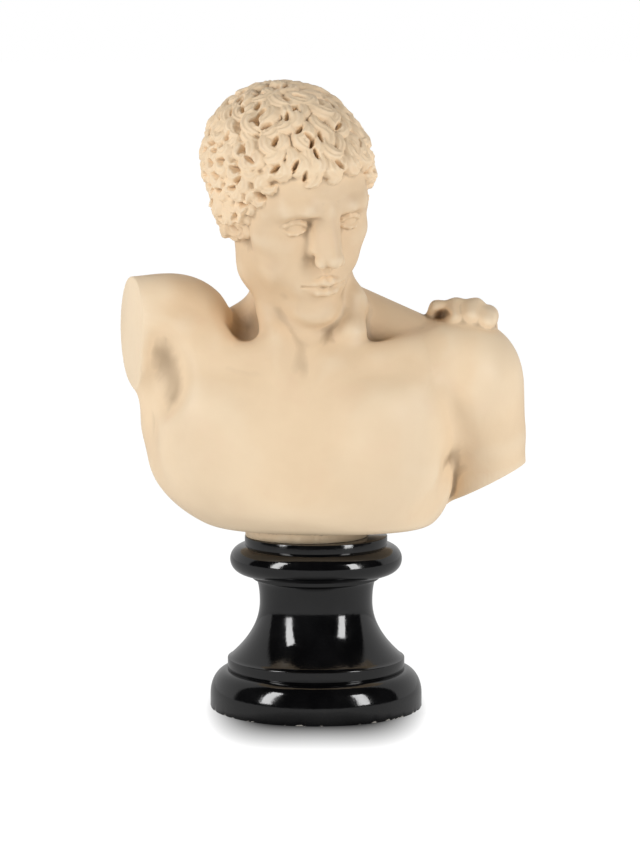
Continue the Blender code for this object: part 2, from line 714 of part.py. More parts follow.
def make_plinth():
    """The turned plinth, its outline spun round the axis."""
    mesh = bpy.data.meshes.new("plinth")
    outline = [(radius, 0, height) for radius, height in plinth_profile()]
    mesh.from_pydata(outline, [(i, i + 1) for i in range(len(outline) - 1)], [])
    plinth = bpy.data.objects.new("plinth", mesh)
    bpy.context.scene.collection.objects.link(plinth)
    turned = plinth.modifiers.new("turned", "SCREW")
    turned.steps = turned.render_steps = PLINTH_SIDES
    turned.use_merge_vertices = True
    turned.merge_threshold = 0.00005
    turned.use_smooth_shade = False
    return plinth


def paint(obj, name, colour, roughness):
    """Gives the object its own plain material."""
    material = bpy.data.materials.new(name)
    material.use_nodes = True
    shader = material.node_tree.nodes["Principled BSDF"]
    shader.inputs["Base Color"].default_value = colour
    shader.inputs["Roughness"].default_value = roughness
    shader.inputs["Metallic"].default_value = 0.0
    obj.data.materials.append(material)


def main():
    """Clears the scene and makes the bust on its plinth, in a collection of their own."""
    for old in list(bpy.data.objects):
        bpy.data.objects.remove(old)
    pieces = bpy.data.collections.new("classical bust")
    bpy.context.scene.collection.children.link(pieces)
    bust, plinth = make_bust(), make_plinth()
    paint(bust, "cast marble", MARBLE_COLOUR, 0.65)
    paint(plinth, "black lacquer", LACQUER_COLOUR, 0.12)
    for piece in (bust, plinth):
        bpy.context.scene.collection.objects.unlink(piece)
        pieces.objects.link(piece)


main()
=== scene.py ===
import math
import time

import bmesh
import bpy
import numpy as np
from mathutils import Euler, Matrix, Vector


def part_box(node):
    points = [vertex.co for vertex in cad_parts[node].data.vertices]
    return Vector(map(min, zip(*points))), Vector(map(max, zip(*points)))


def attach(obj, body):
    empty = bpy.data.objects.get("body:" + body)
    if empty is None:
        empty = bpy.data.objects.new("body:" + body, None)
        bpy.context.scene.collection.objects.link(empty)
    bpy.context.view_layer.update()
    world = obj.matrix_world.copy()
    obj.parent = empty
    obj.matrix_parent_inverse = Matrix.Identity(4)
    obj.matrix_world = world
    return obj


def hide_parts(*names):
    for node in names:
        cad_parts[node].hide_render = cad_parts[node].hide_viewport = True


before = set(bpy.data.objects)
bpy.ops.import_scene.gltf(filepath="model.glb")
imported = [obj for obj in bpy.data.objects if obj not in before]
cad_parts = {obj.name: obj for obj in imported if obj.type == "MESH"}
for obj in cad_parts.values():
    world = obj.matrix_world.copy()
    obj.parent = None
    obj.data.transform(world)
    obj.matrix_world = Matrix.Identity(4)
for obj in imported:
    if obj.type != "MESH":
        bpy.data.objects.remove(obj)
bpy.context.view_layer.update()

started = time.time()


def stagePrint(words):
    print(f"{words}: {time.time() - started:.1f} s")


# The figure is laid out in parts, a hundred to the bust's height: x to the viewer's right, y back, z up
# from the foot's underside. The head has its own canon, a hundred head points from chin to crown.
figureSize = {
    "height": 0.3920,               # metres from the foot's underside to the crown
    "headPoint": 0.455,             # parts in one head point
    "headPivot": (-8.3, 2.5, 66.5),
    "headPivotPoint": (0.0, 8.0, 30.0),
    "nod": 17, "lean": -5, "turn": 27,      # degrees
    "headMiddle": (0, 0, 50), "headReach": 95,      # in head points: past this the head isn't worked out
}

trunkEdge = {
    "middle": (-3.6, 0.0, 21.0),
    "radii": (34.4, 23.0, 23.0),
    "slope": 0.11,                  # the edge climbs under the raised arm
    "power": 2.5,
}

cuts = {
    "raisedPoint": (-40.5, 0.0, 44.0), "raisedWay": (-0.959, -0.282, 0.0),
    "loweredPoint": (37.9, 5.0, 11.1), "loweredWay": (0.455, -0.05, -0.89),
    "edge": 0.25,                   # how far the cuts' rims are worn round, in parts
}

joins = {                           # how softly the bodies melt into each other, in parts
    "trunkEdge": 2.0, "underside": 1.5, "shoulders": 3.0, "arm": 1.2, "head": 2.2, "cloak": 0.6,
}

foot = {
    "radius": 0.0530, "height": 0.0080, "offset": -0.0080,      # metres
    "rim": 0.3,                     # rounding where the trunk meets it, in parts
}

carving = {
    "skins": ((0.0060, 8), (0.0030, 6), (0.00125, 6)),      # voxel size in metres, rounds of settling
    "stride": 0.9, "longestStep": 1.5, "relaxing": 0.35,    # one round: share of the gap, parts, share
    "faceMiddle": (0, -38, 36), "faceReach": 34, "faceFront": -20,      # the finer area, in head points
    "hairReach": 62, "hairBelow": 9,
    "headRounds": 3,
    "triangles": 190000,
}

partSize = figureSize["height"] / 100
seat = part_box("bust")[0].z


def lump(centre, radii, turn=(0, 0, 0), blend=2.0, cut=False):
    turned = Euler([math.radians(a) for a in turn]).to_matrix()     # an egg, turned about X, Y and Z
    return {"egg": True, "centre": Vector(centre), "radii": Vector(radii), "turned": turned,
            "blend": blend, "cut": cut}


def limb(start, end, radius, endRadius=None, blend=2.0, cut=False):
    return {"egg": False, "start": Vector(start), "end": Vector(end), "radius": radius,
            "endRadius": radius if endRadius is None else endRadius, "blend": blend, "cut": cut}


def strand(points, radii, blend=1.0, cut=False):
    return [limb(points[i], points[i + 1], radii[i], radii[i + 1], blend, cut)
            for i in range(len(points) - 1)]


def mirrored(form):
    flip = Matrix.Diagonal((-1, 1, 1))
    other = dict(form)
    for place in ("centre", "start", "end"):
        if place in other:
            other[place] = flip @ other[place]
    if "turned" in other:
        other["turned"] = flip @ other["turned"] @ flip
    return other


def bothSides(forms):
    return [side for form in forms for side in (form, mirrored(form))]


def headPlace():
    turned = (Matrix.Rotation(math.radians(figureSize["turn"]), 4, "Z")
              @ Matrix.Rotation(math.radians(figureSize["lean"]), 4, "Y")
              @ Matrix.Rotation(math.radians(figureSize["nod"]), 4, "X"))
    return (Matrix.Translation(figureSize["headPivot"]) @ turned
            @ Matrix.Scale(figureSize["headPoint"], 4)
            @ Matrix.Translation(-Vector(figureSize["headPivotPoint"])))


skull = {"middle": (0.0, 3.0, 66.0), "radii": (34.0, 44.0, 34.0)}


def skullForms():
    middle = [
        lump(skull["middle"], skull["radii"], blend=4),
        lump((0, -18, 62), (27, 23, 24), blend=8),
        lump((0, -14, 34), (22.5, 25, 32), blend=8),
        lump((0, -37, 6.5), (7.5, 6.5, 6.2), blend=7),
    ]
    sides = bothSides([
        limb((16.5, -5, 20), (6, -32, 8), 7.5, 6, blend=9),
        limb((22.5, 0, 46), (16.5, -5, 20), 7.5, 7.5, blend=10),
        lump((15.5, -24, 33), (9.5, 12, 14), blend=10),
        lump((19, -25, 42.5), (8.5, 8, 5.5), blend=9),
    ])
    return middle + sides


eye = {
    "middle": (13.4, -30.0, 50.0), "radius": 7.2,
    "facing": 9,                    # degrees that the lids are turned outwards
    "upperOut": 0.55, "lowerOut": 0.35, "foldIn": 0.3,      # from the ball, in head points
    "upper": ((-52, -3), (-34, 14), (-10, 24), (16, 22), (40, 9), (58, -5)),    # around and up, in degrees
    "lower": ((-52, -3), (-30, -14), (-4, -21), (22, -21), (44, -13), (58, -5)),
    "fold": ((-40, 26), (-12, 39), (16, 37), (44, 20)),
}


def onEye(angles, radius):
    around, up = math.radians(angles[0] + eye["facing"]), math.radians(angles[1])
    way = Vector((math.sin(around) * math.cos(up), -math.cos(around) * math.cos(up), math.sin(up)))
    return Vector(eye["middle"]) + way * radius


def browsAndEyes():
    radius = eye["radius"]
    upper = [onEye(angles, radius + eye["upperOut"]) for angles in eye["upper"]]
    lower = [onEye(angles, radius + eye["lowerOut"]) for angles in eye["lower"]]
    fold = [onEye(angles, radius - eye["foldIn"]) for angles in eye["fold"]]
    return bothSides([
        lump((20.0, -22.0, 50.5), (6.8, 9.5, 11), blend=7),
        *strand([(3, -40.8, 57.2), (11, -40.2, 59.2), (18.5, -35.0, 59.0), (23.5, -27.5, 56)],
                [2.6, 2.4, 2.2, 2.0], blend=7),
        lump((12.8, -44.6, 50.6), (9.0, 8.3, 5.8), blend=4.5, cut=True),
        lump((7.4, -43.8, 51.4), (3.2, 6.0, 4.2), blend=3, cut=True),
        lump(eye["middle"], (radius, radius, radius), blend=0.7),
        *strand(fold, [1.2, 1.9, 1.9, 1.2], blend=1.0),
        *strand(upper, [0.6, 0.95, 1.1, 1.1, 0.95, 0.6], blend=0.7),
        *strand(lower, [0.5, 0.75, 0.9, 0.9, 0.75, 0.5], blend=0.8),
    ])


def noseAndMouth():
    nose = [
        limb((0, -41.0, 59.0), (0, -49.8, 38.5), 3.0, 3.0, blend=3.5),
        lump((0, -50.2, 36.8), (3.3, 3.6, 3.3), blend=3),
        limb((0, -48.7, 34.3), (0, -43.9, 32.6), 1.4, 1.9, blend=2.0),
        *bothSides([
            limb((1.6, -40.6, 56), (2.6, -46.6, 38), 2.4, 2.8, blend=3),
            limb((3.6, -39.6, 52), (4.6, -41.4, 40), 2.0, 2.6, blend=5),
            lump((4.7, -45.6, 35.2), (2.3, 4.1, 3.0), blend=1.8),
            lump((2.6, -47.2, 31.7), (1.25, 2.3, 1.3), blend=0.7, cut=True),
        ]),
    ]
    mouth = [
        lump((0, -34.5, 22.0), (14, 9.4, 11.0), blend=7),
        *strand([(-10.4, -39.5, 21.9), (-5.6, -42.6, 23.4), (-1.7, -44.4, 24.5), (0, -44.4, 23.9),
                 (1.7, -44.4, 24.5), (5.6, -42.6, 23.4), (10.4, -39.5, 21.9)],
                [0.8, 1.5, 1.8, 1.7, 1.8, 1.5, 0.8], blend=1.3),
        *strand([(-8.8, -40.3, 20.5), (-4.0, -43.2, 19.1), (0, -44.2, 18.7), (4.0, -43.2, 19.1),
                 (8.8, -40.3, 20.5)], [0.9, 2.0, 2.3, 2.0, 0.9], blend=1.3),
        *strand([(-11.2, -40.6, 21.6), (-5.5, -44.6, 21.7), (0, -46.9, 21.4), (5.5, -44.6, 21.7),
                 (11.2, -40.6, 21.6)], [0.6, 0.6, 0.7, 0.6, 0.6], blend=0.6, cut=True),
        limb((0, -46.6, 30.0), (0, -46.9, 27.0), 1.2, 1.5, blend=1.5, cut=True),
        lump((0, -47.2, 14.2), (7.5, 3.8, 2.3), blend=3.2, cut=True),
    ]
    return nose + mouth


def ears():
    return bothSides([
        lump((30.5, 4.5, 47.5), (3.0, 5.4, 8.5), turn=(-8, 0, 12), blend=3),    # under the hair
        lump((30.2, 2.0, 38.5), (2.0, 3.2, 3.6), blend=2.5),                    # the lobe
    ])


def torsoForms():
    ribs = [
        lump((-3.5, 1, 17), (31, 19.5, 30), blend=4),
        lump((-3.5, 0, 2), (31.5, 20, 24), blend=8),
        lump((-3, 10, 30), (28, 11, 20), blend=8),
        lump((-29.8, 4, 18.5), (8.2, 13, 20), turn=(0, -1, 0), blend=6),
        lump((23.0, 5, 16), (8.0, 12, 18), blend=6),
    ]
    breast = [
        lump((-17.5, -11.5, 21.5), (16, 9.2, 14.5), turn=(0, -14, 8), blend=7),
        lump((10.5, -12.3, 20.5), (17, 9.2, 14.0), turn=(0, 6, -6), blend=7),
        lump((-3.5, -8.5, 33), (19, 6.0, 9), blend=6),
        limb((-22, -10.5, 27), (-32, -4.5, 43), 6.8, 7.5, blend=8),
        limb((15, -11.5, 27), (29, -3.5, 36), 8.0, 8.5, blend=8),
        limb((20, -8.5, 26), (31.5, -3.0, 26.5), 7.5, 5.0, blend=5),
    ]
    back = [
        lump((-20, 17, 31), (9, 4.5, 12), turn=(0, 14, -12), blend=6),
        lump((14, 17, 28), (9, 4.5, 12), turn=(0, -10, 12), blend=6),
        limb((-3, 25.5, 6), (-4, 23.5, 44), 2.2, 2.2, blend=5, cut=True),
    ]
    return ribs + breast + back


def neckForms(place):
    rightEar = place @ Vector((-14, 4, 34))
    leftEar = place @ Vector((19, 6, 34))
    return [
        limb((-2.5, 4.0, 36), (-5.6, 3.0, 62), 11.4, 8.8, blend=5),
        limb((-2.6, -2.2, 37), (-3.2, -2.6, 55), 9.6, 8.6, blend=5),
        limb((-6, 8, 49.5), (-22, 6, 41.5), 6.5, 5.5, blend=4),
        limb((-1, 5.0, 50.8), (27, 2.0, 39.8), 7.6, 6.4, blend=5),
        lump((-23.0, -5.5, 41.5), (7.5, 6.5, 6.0), blend=5),
        lump((-18.5, -7.0, 37.5), (9.5, 6.0, 6.5), blend=6),
        *strand([rightEar, (-11.6, -5.4, 50), (-9.2, -9.4, 43), (-4.8, -12.2, 37.4)],
                [2.6, 2.9, 2.9, 2.0], blend=3.5),
        *strand([leftEar, (7.6, -4.6, 52), (7.4, -8.0, 45), (4.2, -10.8, 39)],
                [2.4, 2.3, 2.5, 2.2], blend=4),
        *strand([(-4.5, -11.6, 36.4), (-14, -9.6, 40.2), (-24, -4.5, 45.5)], [2.4, 2.2, 2.8], blend=5),
        *strand([(1.0, -11.6, 36.2), (13, -9.8, 38.6), (27, -4.5, 42.5)], [2.4, 2.2, 2.8], blend=5),
        lump((20.5, -7.2, 36.8), (7.5, 5.0, 5.5), blend=6),
    ]


def raisedShoulder():
    return [
        lump((-33.5, 0.5, 45.0), (12.0, 12.0, 10.6), blend=5),
        lump((-31.0, 1.5, 46.0), (12.3, 9.0, 11.2), blend=2),
        lump((-42, -0.4, 45.0), (24, 9.2, 11.6), blend=4),
        limb((-34.0, -3.4, 50.4), (-46, -4.0, 50.8), 5.2, 5.2, blend=3),
        limb((-37.0, -4.2, 40.6), (-46, -4.8, 39.0), 5.0, 5.0, blend=3),
        lump((-32.6, 5, 29), (5.2, 9, 11), blend=5),
        limb((-34.6, -2.0, 34), (-33.6, -1.0, 25), 3.2, 3.2, blend=5),
        limb((-28.8, -8.2, 45), (-29.4, -9.0, 34), 3.0, 3.0, blend=3.5),
    ]


def loweredShoulder():
    return [
        lump((33.3, 1.5, 34.5), (10.8, 12.3, 12.4), blend=5),
        limb((33.3, 1.5, 34), (36.4, 3.5, 22), 10.2, 9.6, blend=6),
    ]


def loweredArm():
    return [
        limb((35.6, 3.0, 33), (38.4, 7, 3), 9.6, 8.7, blend=3),
        limb((28.0, 7.5, 33), (28.0, 8.5, 6), 5.0, 4.6, blend=3),
    ]


def carvedHollows():
    return [
        lump((-3.0, -18.1, 41.6), (3.6, 3.4, 4.6), blend=4, cut=True),
        lump((-16.0, -6.8, 48.4), (2.4, 5.6, 4.2), blend=6, cut=True),
        lump((-34.2, -14.4, 37.6), (5.2, 5.6, 8.0), blend=5, cut=True),
    ]


cloak = {
    "folds": ((30.0, 48.5, 1.7), (33.6, 49.0, 1.9), (36.9, 47.8, 1.9)),     # across, height, thickness
}


def cloakEnd():
    folds = [
        lump((32.4, 3.0, 44.5), (6.6, 8.0, 4.6), blend=1.5),
        *strand([(24.4, 3.0, 46.8), (26.4, 1.3, 50.0), (30.6, 0.8, 50.5), (35.0, 1.2, 50.3),
                 (38.2, 2.2, 48.2)], [1.2, 1.3, 1.4, 1.5, 1.4], blend=1.5),
    ]
    for across, height, thick in cloak["folds"]:
        folds += strand([(across + 1.6, 10, height - 5.5), (across + 0.9, 4.5, height + 0.2),
                         (across + 0.3, -0.6, height - 0.1), (across + 0.2, -2.4, height - 0.6)],
                        [thick, thick, thick, thick - 0.4], blend=1.6)
    return folds + [
        lump((27.0, -3.0, 48.5), (2.5, 4.6, 1.4), turn=(0, -16, 0), blend=1.0, cut=True),
    ]


def distanceTo(form, points):
    if form["egg"]:
        radii = np.array(form["radii"])
        local = (points - np.array(form["centre"])) @ np.array(form["turned"]) / radii
        near = np.linalg.norm(local, axis=1)
        slope = np.linalg.norm(local / radii, axis=1) + 1e-9
        return near * (near - 1) / slope
    start = np.array(form["start"])
    along = np.array(form["end"]) - start
    share = np.clip((points - start) @ along / (along @ along), 0, 1)
    radius = form["radius"] + share * (form["endRadius"] - form["radius"])
    return np.linalg.norm(points - start - share[:, None] * along, axis=1) - radius


def melted(first, second, reach):
    share = np.clip(0.5 + 0.5 * (second - first) / reach, 0, 1)     # the nearer one, its seam rounded
    return second + (first - second) * share - reach * share * (1 - share)


def bodyOf(forms, points, margin, distance=None):
    distance = np.full(len(points), 3 * margin) if distance is None else distance.copy()
    for form in forms:
        if form["egg"]:
            middle, size = np.array(form["centre"]), max(form["radii"])
        else:
            middle = np.array((form["start"] + form["end"]) / 2)
            size = (form["end"] - form["start"]).length / 2 + max(form["radius"], form["endRadius"])
        near = ((points - middle) ** 2).sum(1) < (size + form["blend"] + margin) ** 2
        if not near.any():
            continue
        one = distanceTo(form, points[near])
        if form["cut"]:
            distance[near] = -melted(-distance[near], one, form["blend"])
        else:
            distance[near] = melted(distance[near], one, form["blend"])
    return distance


# Short wavy hair: comma-shaped locks laid away from the crown like shingles, with drilled pits between
hair = {
    # the hairline: degrees from the face, height
    "line": ((0, 76), (22, 77), (40, 73), (54, 61), (64, 48), (74, 43), (84, 42), (94, 44), (104, 46),
             (118, 45), (135, 39), (160, 33), (180, 31)),
    "cap": 2.3,                     # thickness under the locks, in head points
    "capFade": 5.0, "capShift": 0.35,       # its edge at the hairline
    "locks": 390, "seed": 12,
    "sphere": 41.0,                 # head points from the skull's middle to the hair
    "crown": (0.0, 0.32, 0.95),
    "length": 12.4, "width": 4.05, "height": 2.8,    # one lock, in head points; width is half of it
    "along": (0, 0.18, 0.45, 0.75, 1),      # from root to tip, with the shares of width and height there
    "widths": (0.6, 0.9, 1.0, 0.72, 0.18), "heights": (0.45, 0.8, 1.0, 0.9, 0.55),
    "scatter": 0.04, "sizes": (0.85, 1.2), "lean": 0.55, "layers": 0.9,     # how far the locks differ
    "curl": 2.4, "sideCurl": 4.2,   # how far a lock turns from root to tip, in radians
    "straightAt": 0.35, "sideShorter": 0.15,        # shares of a lock's length
    "sideRise": 1.6, "sideFrom": 0.5, "sideTop": 0.45,      # where the side locks' curl sets in
    "roundness": 2.3, "melt": 0.35,
    "combing": 0.20, "combs": 1.6,  # depth of the strand lines as a share of the lock's height, and waves
    "pitShare": 0.50, "pitDepth": 3.8, "pitLength": 3.2, "pitWidth": 1.15, "pitAside": 1.05,
    "pitEdge": 0.6, "pitBelow": 1.2,        # how steep its wall is, and how far it may pass the cap
}


def hairArea(points):
    around = np.degrees(np.arctan2(np.abs(points[:, 0]), -points[:, 1]))
    angles, heights = zip(*hair["line"])
    return points[:, 2] - np.interp(around, angles, heights)


def placeLocks():
    chance = np.random.default_rng(hair["seed"])
    golden = math.pi * (3 - math.sqrt(5))
    crown = np.array(hair["crown"]) / np.linalg.norm(hair["crown"])
    steps = np.linspace(0, 1, 8)
    locks = []
    for i in range(hair["locks"]):
        height = 1 - (2 * i + 1) / hair["locks"]
        ring = math.sqrt(1 - height * height)
        middle = np.array((ring * math.cos(golden * i), ring * math.sin(golden * i), height))
        middle += chance.uniform(-hair["scatter"], hair["scatter"], 3)
        middle /= np.linalg.norm(middle)
        away = middle - crown
        away -= (away @ middle) * middle
        away /= np.linalg.norm(away) + 1e-9
        across = np.cross(middle, away)
        size = chance.uniform(*hair["sizes"])
        swirl = math.copysign(1, chance.uniform(-1, 1))
        lean = chance.uniform(-hair["lean"], hair["lean"])
        layer = chance.uniform(0, hair["layers"])
        drilled = chance.uniform() < hair["pitShare"]
        place = np.array(skull["middle"]) + middle * np.array(skull["radii"])
        if hairArea(place[None])[0] < -1.0:
            continue
        aside = np.clip(abs(middle[0]) * hair["sideRise"] - hair["sideFrom"], 0, 1)
        aside *= middle[2] < hair["sideTop"]
        turn = hair["curl"] + (hair["sideCurl"] - hair["curl"]) * aside
        heading = lean + swirl * turn * (steps - hair["straightAt"])
        length = hair["length"] * size * (1 - hair["sideShorter"] * aside) / (len(steps) - 1)
        path = np.cumsum(np.stack([np.cos(heading), np.sin(heading)], 1) * length, axis=0)
        path -= path[3]             # its middle lies at its own place
        locks.append({"middle": middle, "away": away, "across": across, "path": path, "size": size,
                      "layer": layer, "drilled": drilled, "swirl": swirl,
                      "phase": chance.uniform(0, 2 * math.pi)})
    return locks


def lockRelief(points, locks):
    scaled = (points - np.array(skull["middle"])) / np.array(skull["radii"])
    outward = scaled / np.linalg.norm(scaled, axis=1)[:, None]
    relief = np.zeros(len(points))
    pits = np.zeros(len(points))
    reach = math.cos(1.05 * hair["length"] / hair["sphere"])
    for lock in locks:
        near = np.where(outward @ lock["middle"] > reach)[0]
        if len(near) == 0:
            continue
        flat = np.stack([outward[near] @ lock["away"], outward[near] @ lock["across"]], 1) * hair["sphere"]
        start, run = lock["path"][:-1], np.diff(lock["path"], axis=0)
        fromStart = flat[:, None] - start[None]
        share = np.clip((fromStart * run[None]).sum(2) / (run ** 2).sum(1)[None], 0, 1)
        gap = fromStart - share[:, :, None] * run[None]
        far = np.linalg.norm(gap, axis=2)
        best = far.argmin(1)
        rows = np.arange(len(near))
        along = (best + share[rows, best]) / len(run)
        side = np.sign(run[best, 0] * gap[rows, best, 1] - run[best, 1] * gap[rows, best, 0])
        width = hair["width"] * lock["size"] * np.interp(along, hair["along"], hair["widths"])
        ratio = far[rows, best] / width
        bulge = np.sqrt(np.clip(1 - ratio ** hair["roundness"], 0, 1))
        tall = hair["height"] * lock["size"] * np.interp(along, hair["along"], hair["heights"])
        comb = 0.5 + 0.5 * np.cos(2 * math.pi * hair["combs"] * ratio * side + lock["phase"])
        rise = bulge * (tall * (1 - hair["combing"] * comb) + lock["layer"])
        relief[near] = -melted(-relief[near], -rise, hair["melt"])
        if lock["drilled"]:
            heart = lock["path"][4]
            way = lock["path"][5] - lock["path"][3]
            way /= np.linalg.norm(way)
            beside = np.array((-way[1], way[0])) * lock["swirl"]
            heart = heart + beside * hair["width"] * lock["size"] * hair["pitAside"]
            local = flat - heart
            pit = (local @ way / hair["pitLength"]) ** 2 + (local @ beside / hair["pitWidth"]) ** 2
            drilled = hair["pitDepth"] * np.clip(1 - pit, 0, 1) ** hair["pitEdge"]
            pits[near] = np.maximum(pits[near], drilled)
    return relief - np.minimum(pits, relief + hair["cap"] + hair["pitBelow"])


def hairCap(points):
    inside = np.clip(hairArea(points) / hair["capFade"] + hair["capShift"], 0, 1)
    return hair["cap"] * inside * inside * (3 - 2 * inside)


def trunkEdgeDistance(points):
    middle, radii, power = trunkEdge["middle"], trunkEdge["radii"], trunkEdge["power"]
    lifted = points[:, 2] - middle[2] + trunkEdge["slope"] * (points[:, 0] - middle[0])
    scaled = np.stack([
        np.abs(points[:, 0] - middle[0]) / radii[0],
        np.abs(points[:, 1] - middle[1]) / radii[1],
        np.clip(-lifted / radii[2], 0, None),
    ], 1)
    return ((scaled ** power).sum(1) ** (1 / power) - 1) * min(radii)


def footDistance(points):
    beside = np.hypot(points[:, 0] - foot["offset"] / partSize, points[:, 1]) - foot["radius"] / partSize
    above = np.abs(points[:, 2]) - 2 * foot["height"] / partSize
    return np.maximum(beside, above)


def planned():
    place = headPlace()
    return {
        "trunk": torsoForms(),
        "upper": neckForms(place) + raisedShoulder() + loweredShoulder(),
        "hollows": carvedHollows(),
        "arm": loweredArm(),
        "head": skullForms() + browsAndEyes() + noseAndMouth() + ears(),
        "cloak": cloakEnd(),
        "toHead": np.array(place.inverted()),
        "locks": placeLocks(),
    }


def figureDistance(figure, points, margin=4.0):
    edge = cuts["edge"]
    trunk = bodyOf(figure["trunk"], points, margin)
    trunk = -melted(-trunk, -trunkEdgeDistance(points), joins["trunkEdge"])
    trunk = -melted(-trunk, points[:, 2] - foot["height"] / partSize, joins["underside"])
    upper = bodyOf(figure["upper"], points, margin)
    arm = bodyOf(figure["arm"], points, margin)
    past = (points - np.array(cuts["loweredPoint"])) @ np.array(cuts["loweredWay"])
    arm = -melted(-arm, -past, edge)
    whole = bodyOf(figure["hollows"], points, margin, melted(trunk, upper, joins["shoulders"]))
    whole = melted(whole, arm, joins["arm"])
    toHead = figure["toHead"]
    headPoints = points @ toHead[:3, :3].T + toHead[:3, 3]
    close = np.linalg.norm(headPoints - figureSize["headMiddle"], axis=1) < figureSize["headReach"]
    head = np.full(len(points), 3 * margin)
    local = headPoints[close]
    headBody = bodyOf(figure["head"], local, margin) - hairCap(local)
    head[close] = headBody * figureSize["headPoint"]
    whole = melted(whole, head, joins["head"])
    whole = melted(whole, bodyOf(figure["cloak"], points, margin), joins["cloak"])
    past = (points - np.array(cuts["raisedPoint"])) @ np.array(cuts["raisedWay"])
    whole = -melted(-whole, -past, edge)
    return melted(whole, footDistance(points), foot["rim"])


def pickOnly(obj):
    if bpy.context.mode != "OBJECT":
        bpy.ops.object.mode_set(mode="OBJECT")
    bpy.ops.object.select_all(action="DESELECT")
    obj.select_set(True)
    bpy.context.view_layer.objects.active = obj


def applied(obj, kind, **settings):
    pickOnly(obj)
    modifier = obj.modifiers.new(kind.lower(), kind)
    for key, value in settings.items():
        setattr(modifier, key, value)
    bpy.ops.object.modifier_apply(modifier=modifier.name)


def pointsOf(mesh):
    flat = np.empty(len(mesh.vertices) * 3, np.float32)
    mesh.vertices.foreach_get("co", flat)
    return flat.reshape(-1, 3).astype(float)


def normalsOf(mesh):
    flat = np.empty(len(mesh.vertices) * 3, np.float32)
    mesh.vertex_normals.foreach_get("vector", flat)
    return flat.reshape(-1, 3).astype(float)


def setPoints(mesh, points):
    mesh.vertices.foreach_set("co", points.astype(np.float32).ravel())
    mesh.update()


def neighbours(mesh):
    ends = np.empty(len(mesh.edges) * 2, np.int32)
    mesh.edges.foreach_get("vertices", ends)
    return ends.reshape(-1, 2)


def averaged(values, ends, rounds, share=0.5):
    count = np.bincount(ends.ravel(), minlength=len(values)).astype(float)
    count[count == 0] = 1
    for _ in range(rounds):
        total = np.zeros_like(values)
        for column in range(values.shape[1]):
            total[:, column] = (np.bincount(ends[:, 0], values[ends[:, 1], column], len(values))
                                + np.bincount(ends[:, 1], values[ends[:, 0], column], len(values)))
        values = values * (1 - share) + share * total / count[:, None]
    return values


def settle(obj, figure, rounds):
    mesh = obj.data
    longest = carving["longestStep"]
    for number in range(rounds):
        points, normals = pointsOf(mesh), normalsOf(mesh)
        inParts = (points - (0, 0, seat)) / partSize
        step = np.clip(figureDistance(figure, inParts), -longest, longest)
        points -= carving["stride"] * step[:, None] * normals * partSize
        if number < rounds - 2:
            points = averaged(points, neighbours(mesh), 1, carving["relaxing"])
        setPoints(mesh, points)


def keepLargestShell(obj):
    shells = bmesh.new()
    shells.from_mesh(obj.data)
    unseen = set(shells.verts)
    found = []
    while unseen:
        reached = [unseen.pop()]
        for vertex in reached:
            for edge in vertex.link_edges:
                other = edge.other_vert(vertex)
                if other in unseen:
                    unseen.discard(other)
                    reached.append(other)
        found.append(reached)
    found.sort(key=len)
    loose = [vertex for shell in found[:-1] for vertex in shell]
    bmesh.ops.delete(shells, geom=loose, context="VERTS")
    shells.to_mesh(obj.data)
    shells.free()


def selectNear(mesh, chosen):
    ends = neighbours(mesh)
    mesh.vertices.foreach_set("select", chosen)
    mesh.edges.foreach_set("select", chosen[ends].all(axis=1))
    corners = np.empty(len(mesh.loops), np.int32)
    mesh.loops.foreach_get("vertex_index", corners)
    starts = np.empty(len(mesh.polygons), np.int32)
    mesh.polygons.foreach_get("loop_start", starts)
    mesh.polygons.foreach_set("select", np.logical_and.reduceat(chosen[corners], starts))


def inHead(mesh, figure):
    toHead = figure["toHead"]
    return ((pointsOf(mesh) - (0, 0, seat)) / partSize) @ toHead[:3, :3].T + toHead[:3, 3]


def refineHead(obj, figure):
    local = inHead(obj.data, figure)
    face = np.linalg.norm(local - carving["faceMiddle"], axis=1) < carving["faceReach"]
    face &= local[:, 1] < carving["faceFront"]
    hairy = np.linalg.norm(local - skull["middle"], axis=1) < carving["hairReach"]
    hairy &= hairArea(local) > -carving["hairBelow"]
    selectNear(obj.data, face | hairy)
    pickOnly(obj)
    bpy.ops.object.mode_set(mode="EDIT")
    bpy.ops.mesh.subdivide(number_cuts=1)
    bpy.ops.object.mode_set(mode="OBJECT")


def heldBack(values, limit, margin=0.002):
    near = np.clip((values - limit + margin) / margin, 0, None)     # eased off before it reaches the limit
    return np.where(near > 0, limit - margin + margin * np.tanh(near), values)


def dressHair(obj, figure):
    mesh = obj.data
    toHead = figure["toHead"]
    middle, radii = np.array(skull["middle"]), np.array(skull["radii"])
    local = inHead(mesh, figure)
    close = np.linalg.norm(local - middle, axis=1) < carving["hairReach"] + 2
    close = np.where(close & (hairArea(local) > -carving["hairBelow"] - 3))[0]
    relief = np.zeros(len(local))
    relief[close] = lockRelief(local[close], figure["locks"])
    relief = averaged(relief[:, None], neighbours(mesh), 2, 0.5)
    outward = (local - middle) / radii ** 2
    outward /= np.linalg.norm(outward, axis=1)[:, None]
    moved = (local + outward * relief - toHead[:3, 3]) @ np.linalg.inv(toHead[:3, :3]).T
    chosen = np.abs(relief[:, 0]) > 1e-4
    points = pointsOf(mesh)
    points[chosen] = moved[chosen] * partSize + (0, 0, seat)
    low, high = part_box("bust")
    points[chosen, 1] = -heldBack(-points[chosen, 1], -low.y)
    points[chosen, 2] = heldBack(points[chosen, 2], high.z)
    setPoints(mesh, points)


